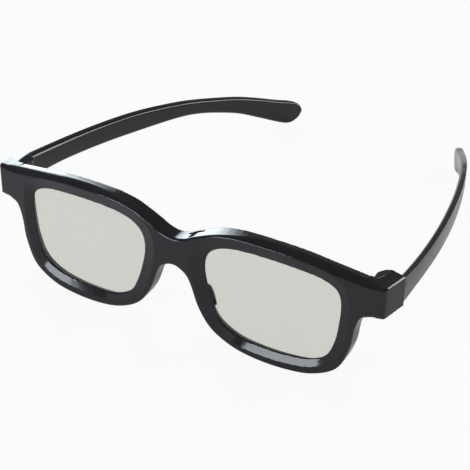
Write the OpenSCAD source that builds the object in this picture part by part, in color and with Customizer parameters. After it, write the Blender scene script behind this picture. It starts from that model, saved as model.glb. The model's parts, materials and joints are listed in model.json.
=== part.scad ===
// Passive 3-D cinema glasses: a glossy front shell, a retaining shell plugged in behind it,
// layered film lenses and one-piece temples that snap into the front on moulded trunnions.
// X runs to the wearer's left, Y from the front to the temple tips and Z up.

/* [Lenses] */
// Distance between the two lens centres
lens_pitch = 69; // [68:0.5:72]
// Width of one lens opening
lens_w = 46.6; // [44:0.2:47.4]
// Height of one lens opening
lens_h = 35.4; // [33:0.2:37]
// Thickness of the retarder sheet, the front layer of a lens
retarder_t = 0.4; // [0.3:0.05:0.6]
// Thickness of the polariser sheet, the rear layer of a lens
polariser_t = 0.4; // [0.3:0.05:0.6]
// How far the sheets reach behind the edge of the opening
film_margin = 1.6; // [1.2:0.1:2]

/* [Front shell] */
// Radius of the front's curve, seen from above
base_radius = 500; // [400:10:700]
// Front face of the rims ahead of the lens plane
face_ahead = 2; // [1.8:0.1:2.4]
// Rear edge of the rims behind the lens plane
rim_behind = 4.2; // [3.8:0.1:4.8]
// Rim width below and beside each lens
rim_w = 5.4; // [5.1:0.1:6]
// Rim width above each lens
brow_w = 5.4; // [5.1:0.1:6]
// Extra rim width on the nose side
nasal_extra = 1.1; // [0.6:0.1:1.4]
// Rim width taken off at the lower nose-side corner
nasal_trim = 1.2; // [0.8:0.1:1.6]
// Thickness of the lip at the lens edge
lip_t = 0.7; // [0.5:0.1:1]
// Mean width of the bevel that slopes in to each lens
bevel_w = 3.7; // [3:0.1:4]
// How much wider the bevel is above the lens than at its mean
bevel_rise = 0.9; // [0.4:0.1:1.1]
// How much wider the bevel is at the nose than at its mean
bevel_nasal = 0.6; // [0.2:0.1:0.9]
// Height of the bridge's top edge above the lens centres
bridge_top = 15.2; // [14.4:0.1:16]
// Height of the nose arch above the lens centres
arch_top = 4.7; // [3.5:0.1:5.5]
// Depth of the brow's crown behind the lens plane
crown_depth = 1.5; // [1:0.1:2]
// Drop of the rounded brow at the front face
brow_drop = 1.3; // [0.8:0.1:1.6]
// Drop of the brow's top from its crown to the rear edge
brow_fall = 1; // [0.6:0.1:1.5]
// Radius of the other front edges of the shell
edge_round = 0.9; // [0.5:0.1:1.1]
// Length of the small recess on the top of the bridge
recess_len = 5.5; // [4:0.5:7]
// Width of the small recess on the top of the bridge
recess_w = 1.4; // [1:0.1:1.8]
// Depth of the small recess on the top of the bridge
recess_d = 0.6; // [0.3:0.1:0.8]

/* [Rear shell] */
// Width of the retaining ring, measured out from the lens opening
ring_w = 3.3; // [3.2:0.1:3.5]
// How much larger the ring's opening is than the lens opening, at the film
ring_step = 1; // [0.8:0.1:1.2]
// How much larger the ring's opening is than the lens opening, at the ring's rear face
ring_open = 2.7; // [2.2:0.1:2.7]
// Depth of the ring's rear face inside the front shell
ring_sunk = 0.3; // [0.1:0.1:0.6]
// Height of the bar that joins the two retaining rings
bar_h = 3.8; // [3:0.1:4.4]
// Thickness of a nose rest
rest_t = 1.3; // [1.1:0.1:1.6]
// Step of a nose rest inside the edge of its ring
rest_inset = 0.4; // [0.3:0.1:0.6]
// Reach of a nose rest behind the lens plane
rest_reach = 6.4; // [5.8:0.2:8]
// Angle at which the nose rests lean in towards the nose
rest_lean = 8; // [4:1:10]

/* [Side arms and hinges] */
// Width over the two side arms at the hinge seam
front_w = 146.8; // [145:0.2:150]
// Length of a side arm, from the lens plane to the seam
arm_len = 15.8; // [15.2:0.1:17]
// Outward splay of a side arm's outer face over its length
arm_splay = 1.2; // [0.6:0.1:1.6]
// Thickness of the side arm's outer wall
arm_wall = 1.7; // [1.4:0.1:2]
// Height of the side arm's top at the front
arm_top = 18.2; // [17.6:0.1:18.8]
// Height of the side arm's underside at the front
arm_low = 6.6; // [6:0.1:7]
// Fall of the side arm's top towards the seam
arm_fall = 2.4; // [2:0.1:2.8]
// Fall of the side arm's underside towards the seam
arm_low_fall = 1.8; // [1.4:0.1:2]
// Radius of the upright corner where the face turns into the side arm
corner_r = 2.2; // [1.6:0.1:2.6]
// Stretch ahead of that corner over which the shell's edge rounding fades out
end_fade = 4; // [3:0.1:5]
// Radius of the side arm's upper front edge
arm_round = 1.6; // [1.2:0.1:2]
// Radius of the inner corner between the side arm and the rim
fillet_r = 2.7; // [2.2:0.1:3]
// Distance from the hinge axis forward of the seam
axis_ahead = 3.5; // [3.4:0.1:4]
// Distance from the hinge axis in from the side arm's outer face
axis_inset = 4.8; // [4.6:0.1:5.2]
// Radius of the rounded hinge ears
ear_r = 3.7; // [3.4:0.1:3.8]
// Thickness of each hinge ear
ear_t = 2; // [1.8:0.1:2.2]
// Height of the lower ear's underside
ear_low = 5.7; // [5.4:0.1:6]
// Clear height between the two ears
ear_gap = 6.2; // [5.6:0.1:6.6]
// Radius of the temple's trunnions
trunnion_r = 1.2; // [1:0.05:1.4]
// Length of one trunnion
trunnion_len = 1.2; // [0.9:0.1:1.4]
// Radius of the temple's hinge barrel
barrel_r = 2.7; // [2.3:0.1:2.8]

/* [Temples] */
// Radius of the temple's inward bow, seen from above
bow_radius = 356; // [340:2:380]
// Thickness of the temple
temple_t = 2.5; // [2.2:0.1:2.8]
// Height of the temple where it meets the side arm
temple_h = 9.6; // [9:0.1:10]
// Height of the temple's top at the seam
temple_top = 14.3; // [13.9:0.1:14.6]
// Overall reach of the temple tip behind the lens plane
temple_reach = 162; // [150:1:170]
// Height of the narrow waist in front of the ear bend
waist_h = 6.2; // [5.4:0.1:7]
// Height of the flared tip
tip_h = 10.4; // [9:0.1:12]
// Drop of the tip's underside below the lens centres
tip_drop = 31.6; // [29:0.1:34]
// Step of the temple's outer face inside the side arm's
temple_step = 0.7; // [0.5:0.1:1]

/* [Clearances] */
// Gap between pieces that are seated on each other
seat_gap = 0.03; // [0.02:0.01:0.06]
// Gap around the retaining ring in the front shell
ring_gap = 0.1; // [0.05:0.05:0.2]
// Radial clearance of a trunnion in its socket
run_gap = 0.05; // [0.03:0.01:0.08]
// Gap between the temple and the side arm and ears
hinge_gap = 0.25; // [0.2:0.05:0.35]

/* [Hidden] */
$fn = 64;
shell_black = [0.07, 0.07, 0.08];
film_grey = [0.78, 0.78, 0.74, 0.6];
// Facets of large arcs, points between those of an outline, and strips in half of the curved front
curve_fn = 720;
outline_steps = 3;
window_steps = 4;
temple_steps = 3;
strips = 26;
// First and last point of the lens opening along which a nose rest runs
rest_span = [15.5, 17];
// Size of a cutter that reaches past everything, and margin that a later cut takes away
reach = 60;
spare = 3;
half_w = front_w / 2;
nasal_x = (lens_pitch - lens_w) / 2;
film_rear = retarder_t + polariser_t + 3 * seat_gap;
ring_rear = rim_behind - ring_sunk;
bar_z = (bridge_top + arch_top) / 2;
axis_x = half_w - axis_inset;
axis_y = arm_len - axis_ahead;
ear_high = ear_low + ear_t + ear_gap;
barrel_low = ear_low + ear_t + hinge_gap;
barrel_h = ear_gap - 2 * hinge_gap;
root_y = arm_len + hinge_gap;
temple_x = half_w - temple_step;

// Points of a smooth closed curve that passes through every given point
function blend(a, b, c, d, t) = 0.5 * (2 * b + (c - a) * t + (2 * a - 5 * b + 4 * c - d) * t * t
    + (3 * b - a - 3 * c + d) * t * t * t);
function curve(points, steps) = let (n = len(points))
    [for (i = [0:n - 1], s = [0:steps - 1])
        blend(points[(i + n - 1) % n], points[i], points[(i + 1) % n], points[(i + 2) % n], s / steps)];
// Points of a smooth curve with two ends that passes through every given point
function path(points, steps) = let (n = len(points)) concat([for (i = [0:n - 2], s = [0:steps - 1])
    blend(points[max(0, i - 1)], points[i], points[i + 1], points[min(n - 1, i + 2)], s / steps)],
    [points[n - 1]]);
// Outward unit normals of a closed curve that runs clockwise
function normals(points) = let (n = len(points))
    [for (i = [0:n - 1]) let (d = points[(i + 1) % n] - points[(i + n - 1) % n]) [-d.y, d.x] / norm(d)];
function arc(centre, radius, from, to, count) =
    [for (i = [0:count]) let (a = from + (to - from) * i / count) centre + radius * [cos(a), sin(a)]];
function mirrored(points) = [for (i = [len(points) - 1:-1:0]) [-points[i].x, points[i].y]];
function ramp(value, low, high) = let (t = min(1, max(0, (value - low) / (high - low)))) t * t * (3 - 2 * t);
// Distance of the curved surface that lies a given depth behind the lens plane
function bend(x, depth) = base_radius - sqrt(pow(base_radius - depth, 2) - x * x);

// Lens opening in shares of its half width and half height, from the upper nose-side corner clockwise
window_shape = [[-0.93, 0.75], [-0.72, 0.93], [-0.41, 0.995], [0, 0.99], [0.41, 0.945], [0.71, 0.88],
    [0.93, 0.72], [1, 0.45], [0.99, 0], [0.945, -0.41], [0.83, -0.775], [0.59, -0.945], [0.24, -1],
    [-0.15, -0.985], [-0.47, -0.91], [-0.725, -0.72], [-0.855, -0.41], [-0.95, 0], [-1, 0.43]];
window_ctrl = [for (p = window_shape) [lens_pitch / 2 + p.x * lens_w / 2, p.y * lens_h / 2]];
window = curve(window_ctrl, window_steps);
window_normals = normals(window);
function grown(size) = [for (i = [0:len(window) - 1]) window[i] + size * window_normals[i]];

// Outline of the front: bridge, brow, end piece, rim and nose arch
ctrl_normals = normals(window_ctrl);
function rim_at(n) = rim_w + nasal_extra * pow(min(0, n.x), 2) - 2 * nasal_trim * min(0, n.x) * min(0, n.y);
brow = [for (i = [1:5]) window_ctrl[i] + brow_w * ctrl_normals[i]];
rim = [for (i = [8:17]) window_ctrl[i] + rim_at(ctrl_normals[i]) * ctrl_normals[i]];
// The bridge's valley, in shares of the distance to a lens opening and in rises above its lowest point
bridge_line = [[0, 0], [0.36, 0.9], [0.73, 3.1]];
bridge = [for (p = bridge_line) [p.x * nasal_x, bridge_top + p.y]];
arch_step = 0.15 * nasal_x;
arch_fall = 0.31;
arch = [for (i = [3:-1:0]) [i * arch_step, arch_top - arch_fall * i * i]];
end_x = half_w - arm_splay - corner_r - 0.6;
end_lift = 0.2;
end_dip = 0.3;
end_round = 0.8;
fillet_x = end_x - fillet_r;
end_piece = [(brow[4] + [end_x, arm_top]) / 2 - [0, end_dip], [end_x - 2 * corner_r, arm_top + end_lift],
    [end_x, arm_top - end_lift], [end_x + end_round, arm_top - end_round],
    [end_x + end_round, arm_low + end_round], [end_x, arm_low + end_lift],
    [fillet_x, arm_low - 0.22 * fillet_r],
    [(rim[0].x + fillet_x) / 2 - end_dip, arm_low - 0.75 * fillet_r]];
outline_half = concat(bridge, brow, end_piece, rim, arch);
outline = curve(concat(outline_half, mirrored([for (i = [1:len(outline_half) - 2]) outline_half[i]])),
    outline_steps);
outline_normals = normals(outline);

// Side view of a temple: straight run, waist, ear bend and flared tip.
// Each station gives a share of the length, a share of the fall and the height there.
stations = [[0, 0, temple_h], [0.12, 0.082, temple_h - 1.3], [0.28, 0.185, temple_h - 1.4],
    [0.43, 0.29, temple_h - 1.5], [0.575, 0.425, waist_h + 0.4], [0.645, 0.504, waist_h],
    [0.715, 0.594, waist_h + 0.4], [0.79, 0.696, 0.67 * waist_h + 0.33 * tip_h],
    [0.86, 0.814, 0.3 * waist_h + 0.7 * tip_h], [0.93, 0.944, tip_h]];
// Rounded end of the tip, in shares of its height from its lowest rearmost corner
tip_shape = [[-0.48, 0.97], [-0.13, 0.73], [0, 0.43], [-0.17, 0.13], [-0.52, 0]];
function station(s, below) = [root_y + s[0] * (temple_reach - root_y),
    temple_top - s[1] * (temple_top + tip_drop - tip_h) - below * s[2]];
temple_side = path(concat([for (s = stations) station(s, 0)],
    [for (p = tip_shape) [temple_reach + p.x * tip_h, p.y * tip_h - tip_drop]],
    [for (i = [len(stations) - 1:-1:0]) station(stations[i], 1)]), temple_steps);

// Where the glasses rest: rims and temple tips on one plane, the box's middle above the origin
rim_foot = [edge_round - face_ahead, min([for (p = outline) p.y])];
tip_foot = [for (p = temple_side) if (p.y == min([for (q = temple_side) q.y])) p][0];
rest_tilt = atan((rim_foot.y - tip_foot.y) / (tip_foot.x - rim_foot.x));
rest_z = -(tip_foot.x * sin(rest_tilt) + tip_foot.y * cos(rest_tilt));
rearmost = max([for (p = temple_side) p.x * cos(rest_tilt) - p.y * sin(rest_tilt)]);
foremost = min([for (p = outline)
    bend(p.x, -face_ahead) * cos(rest_tilt) - (p.y - brow_drop) * sin(rest_tilt)]);
rest_y = -(foremost + rearmost) / 2;

module placed() {
    translate([0, rest_y, rest_z]) rotate([rest_tilt, 0, 0]) children();
}

// Both sides of a feature that is drawn on the wearer's left
module both_sides() {
    children();
    mirror([1, 0, 0]) children();
}

// Outline in the plane of the lenses, carried from one depth to another
module slab(points, from, to) {
    translate([0, to, 0]) rotate([90, 0, 0]) linear_extrude(to - from) polygon(points);
}

// Space between two curved surfaces at the given depths behind the lens plane
module between(from, to) {
    translate([0, base_radius, -reach]) difference() {
        cylinder(r = base_radius - from, h = 2 * reach, $fn = curve_fn);
        translate([0, 0, -spare]) cylinder(r = base_radius - to, h = 3 * reach, $fn = curve_fn);
    }
}

// Everything behind the curved surface at the given depth, which is drawn in fine upright strips
module behind(depth) {
    edge = half_w + rim_behind;
    line = [for (i = [-strips:strips]) let (x = edge * i / strips) [x, bend(x, depth)]];
    translate([0, 0, -reach]) linear_extrude(2 * reach) polygon(concat(line, [[edge, reach], [-edge, reach]]));
}

// Closed solid through a list of rings with equal counts of points
module loft(rings) {
    n = len(rings[0]);
    last = len(rings) - 1;
    sides = [for (j = [0:last - 1], i = [0:n - 1]) let (a = j * n + i, b = j * n + (i + 1) % n)
        each [[a, b + n, b], [a, a + n, b + n]]];
    polyhedron([for (r = rings, p = r) p],
        concat([[for (i = [0:n - 1]) i], [for (i = [n - 1:-1:0]) last * n + i]], sides));
}

// Solid front with its crowned brow and rounded edges, before it is trimmed to depth
module front_blank() {
    last = len(outline) - 1;
    // Upward slant at which the brow's crown starts and is full, and stretch where the rounding fades out
    slant = [0.2, 0.85];
    fade = [end_x - corner_r - end_fade, end_x - corner_r];
    crown = [for (n = outline_normals) ramp(n.y, slant[0], slant[1])];
    free = [for (p = outline) 1 - ramp(abs(p.x), fade[0], fade[1])];
    drop = [for (i = [0:last]) free[i] * (edge_round + (brow_drop - edge_round) * crown[i])];
    top_y = [for (c = crown) (1 - c) * (edge_round - face_ahead) + c * crown_depth];
    function at(i, depth, inset) = let (p = outline[i] - inset * outline_normals[i])
        [p.x, depth + bend(p.x, 0), p.y];
    function rounded(angle) = [for (i = [0:last])
        at(i, top_y[i] - (top_y[i] + face_ahead) * cos(angle), drop[i] * (1 - sin(angle)))];
    summit = rounded(90);
    front_ring = 2 * rounded(0) - rounded(30);
    rear_ring = 2 * [for (i = [0:last]) at(i, rim_behind, free[i] * brow_fall * crown[i])] - summit;
    loft([[for (p = front_ring) [p.x, -3 * face_ahead, p.z]], front_ring, rounded(30), rounded(60), summit,
        rear_ring, [for (p = rear_ring) [p.x, 4 * rim_behind, p.z]]]);
}

// Cutter of one lens opening with its sloping bevel
module lens_cutter() {
    past = 1.6;
    function bevel_at(n) = bevel_w + bevel_rise * n.y - bevel_nasal * n.x;
    function ring(share) = [for (i = [0:len(window) - 1])
        let (p = window[i] + share * bevel_at(window_normals[i]) * window_normals[i])
        [p.x, bend(p.x, 0) - lip_t - share * (face_ahead - lip_t), p.y]];
    wide = ring(past);
    lip = ring(0);
    loft([[for (p = wide) [p.x, -4 * face_ahead, p.z]], wide, lip, [for (p = lip) [p.x, 4 * rim_behind, p.z]]]);
}

// Side arm on the wearer's left, with the channel that takes the hinge barrel
module side_arm() {
    inner_x = fillet_x - 2 * spare / 3;
    corner_x = half_w - arm_splay - corner_r;
    face_y = bend(corner_x, -face_ahead);
    // The corner's arc starts where it leaves the face and ends on the splayed outer wall
    corner_from = -70;
    corner_to = -6;
    corner_y = face_y - corner_r * sin(corner_from);
    plan = concat([[inner_x, face_y - spare], [corner_x + corner_r * cos(corner_from), face_y - spare]],
        arc([corner_x, corner_y], corner_r, corner_from, corner_to, 6),
        [[half_w, arm_len], [axis_x, arm_len], [axis_x, rim_behind], [inner_x, rim_behind]]);
    // The top's rounding starts just above the face and ends in the falling top
    top_from = 170;
    top_to = 80;
    top_arc = arc([face_y + arm_round, arm_top - arm_round - end_dip], arm_round, top_from, top_to, 6);
    side = concat([[face_y - spare, arm_low], [face_y - spare, top_arc[0].y]], top_arc,
        [[arm_len, arm_top - arm_fall], [arm_len, arm_low - arm_low_fall]]);
    difference() {
        intersection() {
            linear_extrude(reach) polygon(plan);
            rotate([90, 0, 90]) linear_extrude(2 * reach) polygon(side);
        }
        translate([axis_x - reach, axis_y - barrel_r - 2 * hinge_gap, ear_low + ear_t])
            cube([reach + half_w - arm_wall - axis_x, reach, ear_gap]);
    }
}

// Rounded hinge ear that reaches in from the side arm
module ear(low) {
    root = [fillet_x - spare / 2, bend(axis_x, rim_behind) - spare];
    translate([0, 0, low]) linear_extrude(ear_t) hull() {
        translate([axis_x, axis_y]) circle(r = ear_r, $fn = 32);
        translate(root) square([half_w - arm_splay - arm_wall / 2 - root.x, spare]);
    }
}

// Blind sockets of the two ears
module sockets() {
    for (z = [ear_low + ear_t - trunnion_len - hinge_gap, ear_high - hinge_gap])
        translate([axis_x, axis_y, z]) cylinder(r = trunnion_r + run_gap, h = trunnion_len + 2 * hinge_gap);
}

// Cutter of one retaining ring's opening, which widens towards the rear
module ring_cutter() {
    function ring(share) = let (line = grown(ring_step + share * (ring_open - ring_step)),
        depth = film_rear + share * (ring_rear - film_rear)) [for (p = line) [p.x, bend(p.x, depth), p.y]];
    near = ring(-0.3);
    far = ring(1.2);
    loft([[for (p = near) [p.x, -4 * face_ahead, p.z]], near, far, [for (p = far) [p.x, 4 * rim_behind, p.z]]]);
}

// Outer edge of the retaining ring pair with its bar
module ring_blank(extra, from, to) {
    side = nasal_x + ring_step;
    low = bar_z - bar_h / 2 - extra;
    high = bar_z + bar_h / 2 + extra;
    both_sides() slab(grown(ring_w + extra), from, to);
    slab([[-side, low], [-side, high], [side, high], [side, low]], from, to);
}

// Small recess on the sloping top of the bridge
module bridge_recess() {
    slope = bridge[2] - bridge[1];
    middle = (bridge[2] + bridge[1]) / 2;
    translate([middle.x, 0.6 * rim_behind, middle.y]) rotate([0, -atan2(slope.y, slope.x), 0])
        translate([0, 0, -recess_d]) {
            translate([-recess_len / 2, -recess_w / 2, 0]) cube([recess_len, recess_w, spare]);
            for (end = [-1, 1]) translate([end * recess_len / 2, 0, 0]) cylinder(d = recess_w, h = spare);
        }
}

module front_frame() color(shell_black) placed() difference() {
    intersection() {
        union() {
            difference() {
                front_blank();
                behind(rim_behind);
            }
            both_sides() {
                side_arm();
                ear(ear_low);
                ear(ear_high);
            }
        }
        behind(-face_ahead);
    }
    both_sides() {
        lens_cutter();
        sockets();
    }
    intersection() {
        both_sides() slab(grown(film_margin + ring_gap), -face_ahead, 3 * rim_behind);
        behind(0);
    }
    intersection() {
        ring_blank(ring_gap, -face_ahead, 3 * rim_behind);
        behind(film_rear - seat_gap);
    }
    bridge_recess();
}

// Nose rest on the wearer's left: a rounded flange along the nose side of the ring
module nose_rest() {
    low = rest_span[0] * window_steps;
    high = rest_span[1] * window_steps;
    outer = grown(ring_w - rest_inset);
    inner = grown(ring_w - rest_inset - rest_t);
    strip = concat([for (i = [low:high]) outer[i]], [for (i = [high:-1:low]) inner[i]]);
    pivot = [outer[high].x, (film_rear + ring_rear) / 2, 0];
    round_z = (outer[low].y + outer[high].y) / 2;
    round_r = (outer[high].y - outer[low].y) / 2;
    intersection() {
        translate(pivot) rotate([0, 0, rest_lean]) translate(-pivot) slab(strip, pivot.y, 2 * rest_reach);
        translate([0, rest_reach - round_r, round_z]) rotate([0, 90, 0]) cylinder(r = round_r, h = lens_pitch);
        behind(pivot.y);
    }
}

module rear_frame() color(shell_black) placed() {
    difference() {
        intersection() {
            ring_blank(0, -face_ahead, 3 * rim_behind);
            behind(film_rear);
        }
        behind(ring_rear);
        both_sides() ring_cutter();
    }
    both_sides() nose_rest();
}

// One sheet of a lens on the wearer's left
module film(from, thickness) {
    color(film_grey) intersection() {
        slab(grown(film_margin), -face_ahead, 3 * rim_behind);
        between(from, from + thickness);
    }
}

// Temple on the wearer's left, with its hinge barrel and trunnions
module temple() {
    neck_x = half_w - arm_wall - hinge_gap;
    neck_y = root_y + temple_t;
    neck = [[axis_x - barrel_r / 2, axis_y + barrel_r / 2], [temple_x - 0.8 * temple_t, neck_y],
        [neck_x, neck_y], [neck_x, root_y], [axis_x + 0.9 * barrel_r, axis_y]];
    intersection() {
        rotate([90, 0, 90]) linear_extrude(half_w) polygon(temple_side);
        translate([temple_x - bow_radius, root_y / 2, -reach]) difference() {
            cylinder(r = bow_radius, h = 2 * reach, $fn = curve_fn);
            translate([0, 0, -spare]) cylinder(r = bow_radius - temple_t, h = 3 * reach, $fn = curve_fn);
        }
    }
    translate([0, 0, barrel_low]) linear_extrude(barrel_h) polygon(neck);
    translate([axis_x, axis_y, barrel_low]) cylinder(r = barrel_r, h = barrel_h);
    translate([axis_x, axis_y, barrel_low - trunnion_len])
        cylinder(r = trunnion_r, h = barrel_h + 2 * trunnion_len);
}

module left_retarder_film() placed() film(seat_gap, retarder_t);
module right_retarder_film() placed() mirror([1, 0, 0]) film(seat_gap, retarder_t);
module left_polariser_film() placed() film(retarder_t + 2 * seat_gap, polariser_t);
module right_polariser_film() placed() mirror([1, 0, 0]) film(retarder_t + 2 * seat_gap, polariser_t);
module left_temple() color(shell_black) placed() temple();
module right_temple() color(shell_black) placed() mirror([1, 0, 0]) temple();

front_frame();
rear_frame();
left_retarder_film();
right_retarder_film();
left_polariser_film();
right_polariser_film();
left_temple();
right_temple();
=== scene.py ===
import json
import math

import bmesh
import bpy
import numpy as np
from mathutils import Matrix, Vector


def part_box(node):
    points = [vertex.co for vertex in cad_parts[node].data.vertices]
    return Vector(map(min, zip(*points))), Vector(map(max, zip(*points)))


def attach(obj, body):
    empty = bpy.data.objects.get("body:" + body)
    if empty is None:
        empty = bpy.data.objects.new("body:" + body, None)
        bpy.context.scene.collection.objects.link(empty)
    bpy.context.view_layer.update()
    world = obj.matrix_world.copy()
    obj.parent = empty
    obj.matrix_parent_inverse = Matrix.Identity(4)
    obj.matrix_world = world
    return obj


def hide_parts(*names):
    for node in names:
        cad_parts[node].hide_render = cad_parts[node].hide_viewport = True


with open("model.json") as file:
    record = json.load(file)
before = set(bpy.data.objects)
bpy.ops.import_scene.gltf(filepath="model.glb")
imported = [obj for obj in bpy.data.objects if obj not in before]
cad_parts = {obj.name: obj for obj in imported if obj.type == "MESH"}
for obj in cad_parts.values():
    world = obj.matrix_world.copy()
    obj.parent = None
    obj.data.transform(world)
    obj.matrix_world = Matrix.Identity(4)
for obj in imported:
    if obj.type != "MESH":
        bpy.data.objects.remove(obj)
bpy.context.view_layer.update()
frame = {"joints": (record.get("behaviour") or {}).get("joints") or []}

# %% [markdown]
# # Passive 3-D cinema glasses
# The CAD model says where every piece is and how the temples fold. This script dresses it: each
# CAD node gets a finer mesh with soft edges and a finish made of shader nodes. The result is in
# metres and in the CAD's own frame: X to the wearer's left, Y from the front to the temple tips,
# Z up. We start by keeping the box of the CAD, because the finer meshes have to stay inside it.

# %% [markdown]
# ## A drawing frame for the front
# The glasses stand on their rims and temple tips, so the front leans a little. Every shape could
# be written down leaning, but it is easier in an upright drawing frame in millimetres, with zero
# at the middle of the front. The left hinge shows how that drawing sits in the CAD's frame: its
# axis gives the lean, and its position gives the shift.

# %% From the drawing to the CAD's frame
HINGE = (68.6, 12.3, 10.8)
fold = next(j for j in frame["joints"] if j["name"] == "left_temple_fold")
lean = Matrix.Rotation(math.atan2(-fold["axis"][1], fold["axis"][2]), 4, "X")
shift = Vector(fold["pos_m"]) * 1000 - lean @ Vector(HINGE)
TO_CAD = Matrix.Scale(0.001, 4) @ Matrix.Translation(shift) @ lean
print("the front leans", round(math.degrees(lean.to_euler().x), 2), "degrees; shift in mm:", shift)

# %% [markdown]
# ## Curves
# The front could be sculpted by hand, but then no size of it could be changed later. Its lines are
# splines instead: `spline` runs a smooth curve through given points, and `outward` gives its
# normals, so that a line can be moved out or in by a margin.

# %% Helpers for curves
def spline(points, steps, closed=True):
    """Points of a smooth curve that passes through every given point."""
    p = np.asarray(points, float)
    n = len(p)
    t = np.arange(steps)[:, None] / steps

    def at(k):
        return p[k % n] if closed else p[min(max(k, 0), n - 1)]

    spans = []
    for i in range(n if closed else n - 1):
        a, b, c, d = map(at, range(i - 1, i + 3))
        square, cube = 2 * a - 5 * b + 4 * c - d, 3 * b - a - 3 * c + d
        spans.append(0.5 * (2 * b + (c - a) * t + square * t**2 + cube * t**3))
    return np.vstack(spans if closed else spans + [p[-1:]])


def outward(points):
    """Outward unit normals of a closed curve that runs clockwise."""
    d = np.roll(points, -1, 0) - np.roll(points, 1, 0)
    return np.stack([-d[:, 1], d[:, 0]], 1) / np.linalg.norm(d, axis=1, keepdims=True)


# %% [markdown]
# ## The outlines of the front
# Both lens openings are one rounded shape and its mirror image. The outline of the front follows
# the opening at the width of the rim, dips at the bridge, runs out to the hinge end and arches over
# the nose. Curve objects could hold these lines. As splines through a few points they follow the
# same sizes as the CAD, and each can have as many points as a smooth edge needs.

# %% Lens opening
# Distance of the lens centres, width and height of an opening
PITCH, LENS_W, LENS_H = 69, 46.6, 35.4
# Bend of the front, and how far the shell reaches ahead of the lens plane and behind it
CURVE_R, AHEAD, BEHIND = 500, 2, 4.2
# Points of the left opening, in shares of its half width and half height
WINDOW = [(-0.93, 0.75), (-0.72, 0.93), (-0.41, 0.995), (0, 0.99), (0.41, 0.945), (0.71, 0.88),
          (0.93, 0.72), (1, 0.45), (0.99, 0), (0.945, -0.41), (0.83, -0.775), (0.59, -0.945),
          (0.24, -1), (-0.15, -0.985), (-0.47, -0.91), (-0.725, -0.72), (-0.855, -0.41),
          (-0.95, 0), (-1, 0.43)]
corners = np.array([(PITCH / 2 + x * LENS_W / 2, y * LENS_H / 2) for x, y in WINDOW])
window = spline(corners, steps=12)
window_out = outward(window)


def grown(size):
    """The lens opening, made larger by a given margin."""
    return window + size * window_out


def bend(x, depth):
    """How far back the curved front lies at x, at a given depth behind the lens plane."""
    return CURVE_R - np.sqrt((CURVE_R - depth)**2 - np.asarray(x)**2)


print("lens opening:", len(window), "points,", np.ptp(window, axis=0).round(1), "mm")

# %% Outline of the front
# Widths of rim and brow, half the width of the glasses, levels of the bridge and the nose arch
RIM, BROW, HALF, BRIDGE_Z, ARCH_Z = 5.4, 5.4, 73.4, 15.2, 4.7
# Top and bottom of the side arms, how far they splay, the rounding of their corner and their foot
ARM_TOP, ARM_LOW, SPLAY, CORNER, FILLET = 18.2, 6.6, 1.2, 2.2, 2.7
corner_out = outward(corners)
# The rim widens towards the nose, most of all at its lower corner
inward, downward = np.minimum(corner_out, 0).T
rim_width = RIM + 1.1 * inward**2 - 2.4 * inward * downward
brow = (corners + BROW * corner_out)[1:6]
rim = (corners + rim_width[:, None] * corner_out)[8:18]
nasal = (PITCH - LENS_W) / 2
bridge = np.array([(x * nasal, BRIDGE_Z + z) for x, z in [(0, 0), (0.36, 0.9), (0.73, 3.1)]])
arch = np.array([(0.15 * nasal * i, ARCH_Z - 0.31 * i * i) for i in (3, 2, 1, 0)])
end_x = HALF - SPLAY - CORNER - 0.6
fillet_x = end_x - FILLET
hinge_end = np.array([
    (brow[4] + (end_x, ARM_TOP)) / 2 - (0, 0.3), (end_x - 2 * CORNER, ARM_TOP + 0.2),
    (end_x, ARM_TOP - 0.2), (end_x + 0.8, ARM_TOP - 0.8), (end_x + 0.8, ARM_LOW + 0.8),
    (end_x, ARM_LOW + 0.2), (fillet_x, ARM_LOW - 0.22 * FILLET),
    ((rim[0][0] + fillet_x) / 2 - 0.3, ARM_LOW - 0.75 * FILLET)])
half = np.vstack([bridge, brow, hinge_end, rim, arch])
outline = spline(np.vstack([half, half[-2:0:-1] * (-1, 1)]), steps=10)
outline_out = outward(outline)
print("front outline:", len(outline), "points,", np.ptp(outline, axis=0).round(1), "mm")

# %% [markdown]
# ## Solids
# `loft` skins a stack of rings into a closed solid, `prism` carries a flat outline straight on, and
# `carve` joins or cuts solids with a Boolean modifier. The modifiers could stay live on the pieces,
# but a result that is kept as a plain mesh can be carved again and eased at the end.

# %% Helpers for solids
def loft(name, rings):
    """Closed solid through rings with equal counts of points."""
    n = len(rings[0])
    last = (len(rings) - 1) * n
    faces = [list(range(n - 1, -1, -1)), list(range(last, last + n))]
    for low in range(0, last, n):
        faces += [[low + i, low + (i + 1) % n, low + n + (i + 1) % n, low + n + i]
                  for i in range(n)]
    mesh = bpy.data.meshes.new(name)
    mesh.from_pydata(np.vstack(rings).tolist(), [], faces)
    shape = bmesh.new()
    shape.from_mesh(mesh)
    bmesh.ops.recalc_face_normals(shape, faces=shape.faces)
    shape.to_mesh(mesh)
    shape.free()
    made = bpy.data.objects.new(name, mesh)
    bpy.context.scene.collection.objects.link(made)
    return made


def prism(name, points, low, high, along):
    """Flat outline carried from low to high along axis 0, 1 or 2."""
    flat_ring = np.asarray(points, float)
    return loft(name, [np.insert(flat_ring, along, level, axis=1) for level in (low, high)])


# %% Helpers for cuts
def settle(piece):
    """Keeps what the modifiers of a piece make as its plain mesh."""
    bpy.context.view_layer.update()
    shown = piece.evaluated_get(bpy.context.evaluated_depsgraph_get())
    old, piece.data = piece.data, bpy.data.meshes.new_from_object(shown)
    piece.modifiers.clear()
    bpy.data.meshes.remove(old)
    return piece


def carve(piece, tool, operation="DIFFERENCE"):
    """Cuts, joins or intersects a piece with a tool, which is used up."""
    step = piece.modifiers.new("carve", "BOOLEAN")
    step.object, step.operation, step.solver = tool, operation, "MANIFOLD"
    settle(piece)
    bpy.data.meshes.remove(tool.data)
    return piece


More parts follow.
